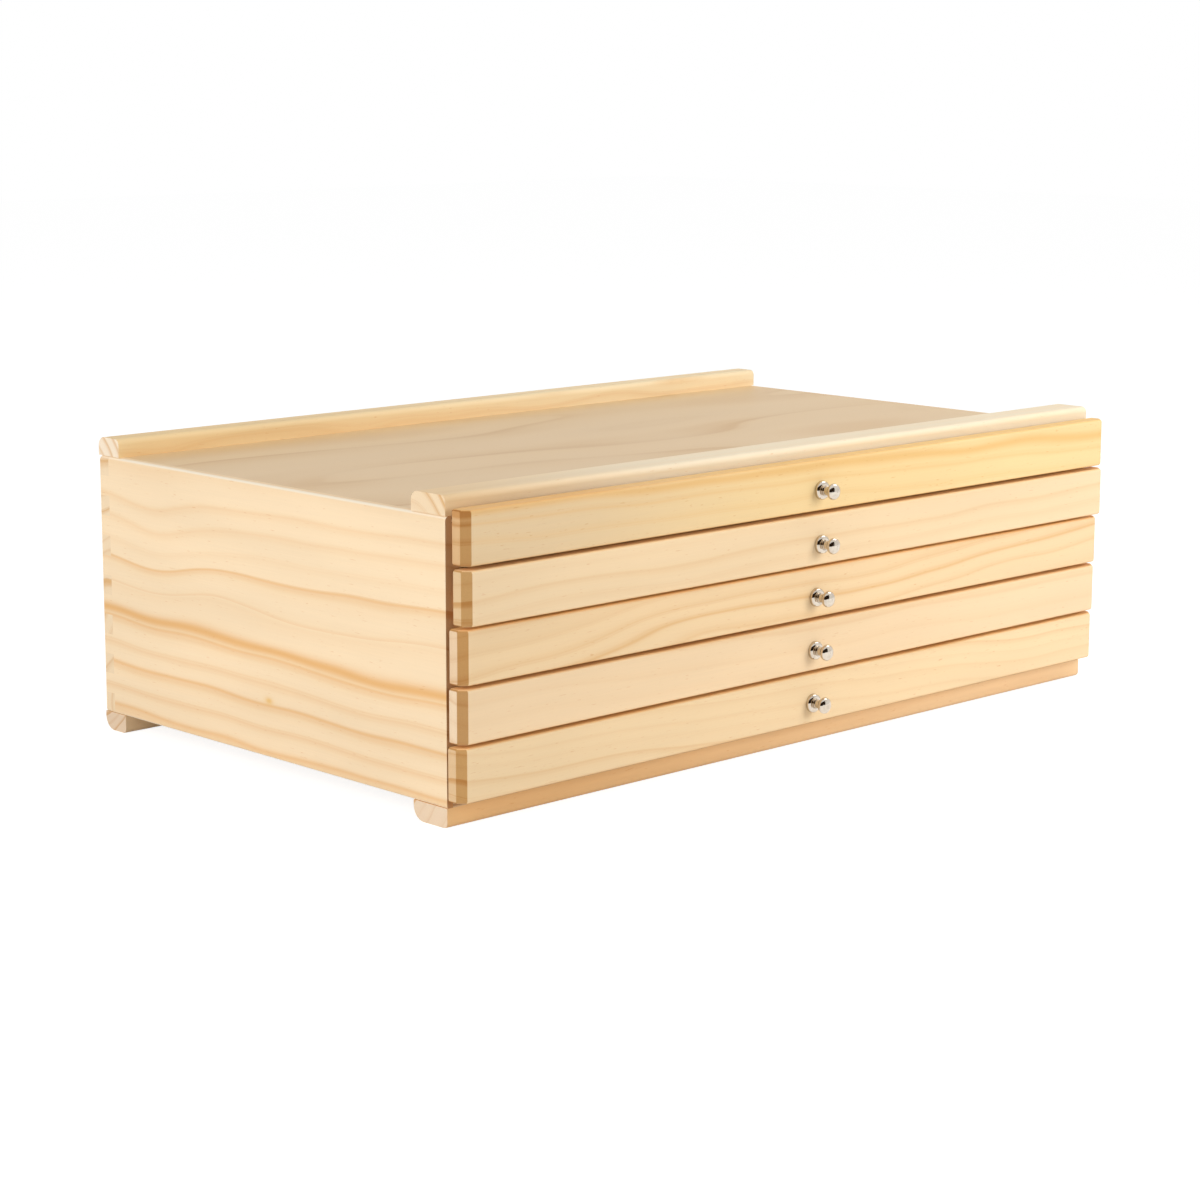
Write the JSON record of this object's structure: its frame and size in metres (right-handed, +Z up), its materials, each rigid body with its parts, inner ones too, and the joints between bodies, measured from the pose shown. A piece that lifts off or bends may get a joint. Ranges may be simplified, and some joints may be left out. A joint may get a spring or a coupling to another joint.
{
  "type": "pencil drawer box",
  "caption": "Low pine chest with box-jointed rear corners, raised strips on top, feet below, and shallow full-width drawers for pencils, each with a small round metal knob.",
  "frame": {"origin": "under the middle of the box at the level of its feet, drawers as drawn", "axes": "+X to the right along the front, -Y out of the drawer fronts, +Z up"},
  "size_m": [0.4, 0.251, 0.13],
  "materials": {
    "pine": "sanded, unfinished",
    "plywood": "sanded, unfinished",
    "nickel": "polished",
    "steel": "zinc plated"
  },
  "bodies": {
    "case": {"left_side": "pine", "right_side": "pine", "back_panel": "pine", "top_panel": "plywood", "bottom_panel": "plywood", "front_top_rail": "pine", "back_top_rail": "pine", "front_foot_rail": "pine", "back_foot_rail": "pine", "runner_1_left": "pine", "runner_1_right": "pine", "runner_2_left": "pine", "runner_2_right": "pine", "runner_3_left": "pine", "runner_3_right": "pine", "runner_4_left": "pine", "runner_4_right": "pine"},
    "drawer_1": {"drawer_1_front": "pine", "drawer_1_left_side": "pine", "drawer_1_right_side": "pine", "drawer_1_back": "pine", "drawer_1_bottom": "plywood", "drawer_1_divider": "pine", "drawer_1_knob": "nickel", "drawer_1_knob_screw": "steel"},
    "drawer_2": {"drawer_2_front": "pine", "drawer_2_left_side": "pine", "drawer_2_right_side": "pine", "drawer_2_back": "pine", "drawer_2_bottom": "plywood", "drawer_2_divider": "pine", "drawer_2_knob": "nickel", "drawer_2_knob_screw": "steel"},
    "drawer_3": {"drawer_3_front": "pine", "drawer_3_left_side": "pine", "drawer_3_right_side": "pine", "drawer_3_back": "pine", "drawer_3_bottom": "plywood", "drawer_3_divider": "pine", "drawer_3_knob": "nickel", "drawer_3_knob_screw": "steel"},
    "drawer_4": {"drawer_4_front": "pine", "drawer_4_left_side": "pine", "drawer_4_right_side": "pine", "drawer_4_back": "pine", "drawer_4_bottom": "plywood", "drawer_4_divider": "pine", "drawer_4_knob": "nickel", "drawer_4_knob_screw": "steel"},
    "drawer_5": {"drawer_5_front": "pine", "drawer_5_left_side": "pine", "drawer_5_right_side": "pine", "drawer_5_back": "pine", "drawer_5_bottom": "plywood", "drawer_5_divider": "pine", "drawer_5_knob": "nickel", "drawer_5_knob_screw": "steel"}
  },
  "joints": [
    {"name": "slide_1", "type": "slide", "parent": "case", "child": "drawer_1", "axis": [0, -1, 0], "range_m": [-0.0037, 0.161]},
    {"name": "slide_2", "type": "slide", "parent": "case", "child": "drawer_2", "axis": [0, -1, 0], "range_m": [-0.0041, 0.1606]},
    {"name": "slide_3", "type": "slide", "parent": "case", "child": "drawer_3", "axis": [0, -1, 0], "range_m": [-0.0017, 0.163]},
    {"name": "slide_4", "type": "slide", "parent": "case", "child": "drawer_4", "axis": [0, -1, 0], "range_m": [-0.0013, 0.1634]},
    {"name": "slide_5", "type": "slide", "parent": "case", "child": "drawer_5", "axis": [0, -1, 0], "range_m": [-0.0005, 0.1642]}
  ]
}
